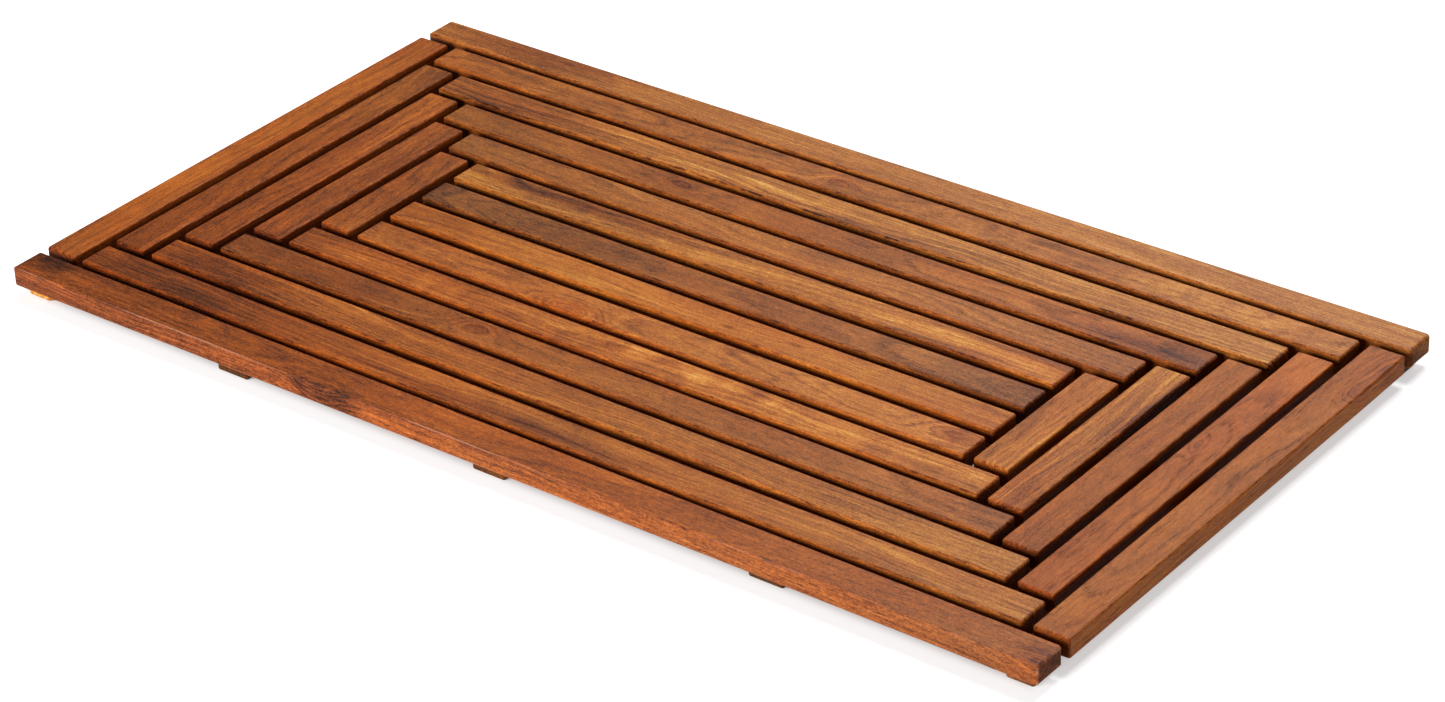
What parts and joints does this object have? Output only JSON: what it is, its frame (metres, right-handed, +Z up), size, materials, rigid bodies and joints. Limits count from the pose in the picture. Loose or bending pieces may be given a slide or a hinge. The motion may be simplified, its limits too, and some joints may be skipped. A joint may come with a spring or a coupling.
{
  "type": "slatted bath mat",
  "caption": "Rigid rectangular hardwood bath mat: narrow slats in nested rectangles with stepped butt corners, screwed from below to cross, corner and side battens that raise it to drain.",
  "frame": {"origin": "on the floor, under the middle of the mat", "axes": "+X along the long side, +Y towards the back long edge, +Z up; the pictured view is from the front right, above"},
  "size_m": [0.9, 0.495, 0.0244],
  "materials": {
    "teak_slat": "oiled teak, satin, eased edges, strong figure that differs from slat to slat",
    "teak_batten": "lightly oiled teak, sawn and eased, duller than the deck",
    "screw_steel": "plain countersunk wood screws"
  },
  "bodies": {
    "root": {"back_rail": "teak_slat", "front_rail": "teak_slat", "left_slat_1": "teak_slat", "right_slat_1": "teak_slat", "back_slat_1": "teak_slat", "front_slat_1": "teak_slat", "left_slat_2": "teak_slat", "right_slat_2": "teak_slat", "back_slat_2": "teak_slat", "front_slat_2": "teak_slat", "left_slat_3": "teak_slat", "right_slat_3": "teak_slat", "back_slat_3": "teak_slat", "front_slat_3": "teak_slat", "left_slat_4": "teak_slat", "right_slat_4": "teak_slat", "back_slat_4": "teak_slat", "front_slat_4": "teak_slat", "left_slat_5": "teak_slat", "right_slat_5": "teak_slat", "centre_slat_1": "teak_slat", "centre_slat_2": "teak_slat", "centre_slat_3": "teak_slat", "centre_slat_4": "teak_slat", "cross_batten_left": "teak_batten", "cross_batten_centre": "teak_batten", "cross_batten_right": "teak_batten", "corner_batten_front_left": "teak_batten", "corner_batten_front_right": "teak_batten", "corner_batten_back_left": "teak_batten", "corner_batten_back_right": "teak_batten", "side_batten_left": "teak_batten", "side_batten_right": "teak_batten", "screw_cross_left_1": "screw_steel", "screw_cross_left_2": "screw_steel", "screw_cross_left_3": "screw_steel", "screw_cross_centre_1": "screw_steel", "screw_cross_centre_2": "screw_steel", "screw_cross_centre_3": "screw_steel", "screw_cross_right_1": "screw_steel", "screw_cross_right_2": "screw_steel", "screw_cross_right_3": "screw_steel", "screw_corner_front_left_1": "screw_steel", "screw_corner_front_left_2": "screw_steel", "screw_corner_front_left_3": "screw_steel", "screw_corner_front_right_1": "screw_steel", "screw_corner_front_right_2": "screw_steel", "screw_corner_front_right_3": "screw_steel", "screw_corner_back_left_1": "screw_steel", "screw_corner_back_left_2": "screw_steel", "screw_corner_back_left_3": "screw_steel", "screw_corner_back_right_1": "screw_steel", "screw_corner_back_right_2": "screw_steel", "screw_corner_back_right_3": "screw_steel", "screw_side_left_1": "screw_steel", "screw_side_left_2": "screw_steel", "screw_side_left_3": "screw_steel", "screw_side_right_1": "screw_steel", "screw_side_right_2": "screw_steel", "screw_side_right_3": "screw_steel"}
  },
  "joints": []
}
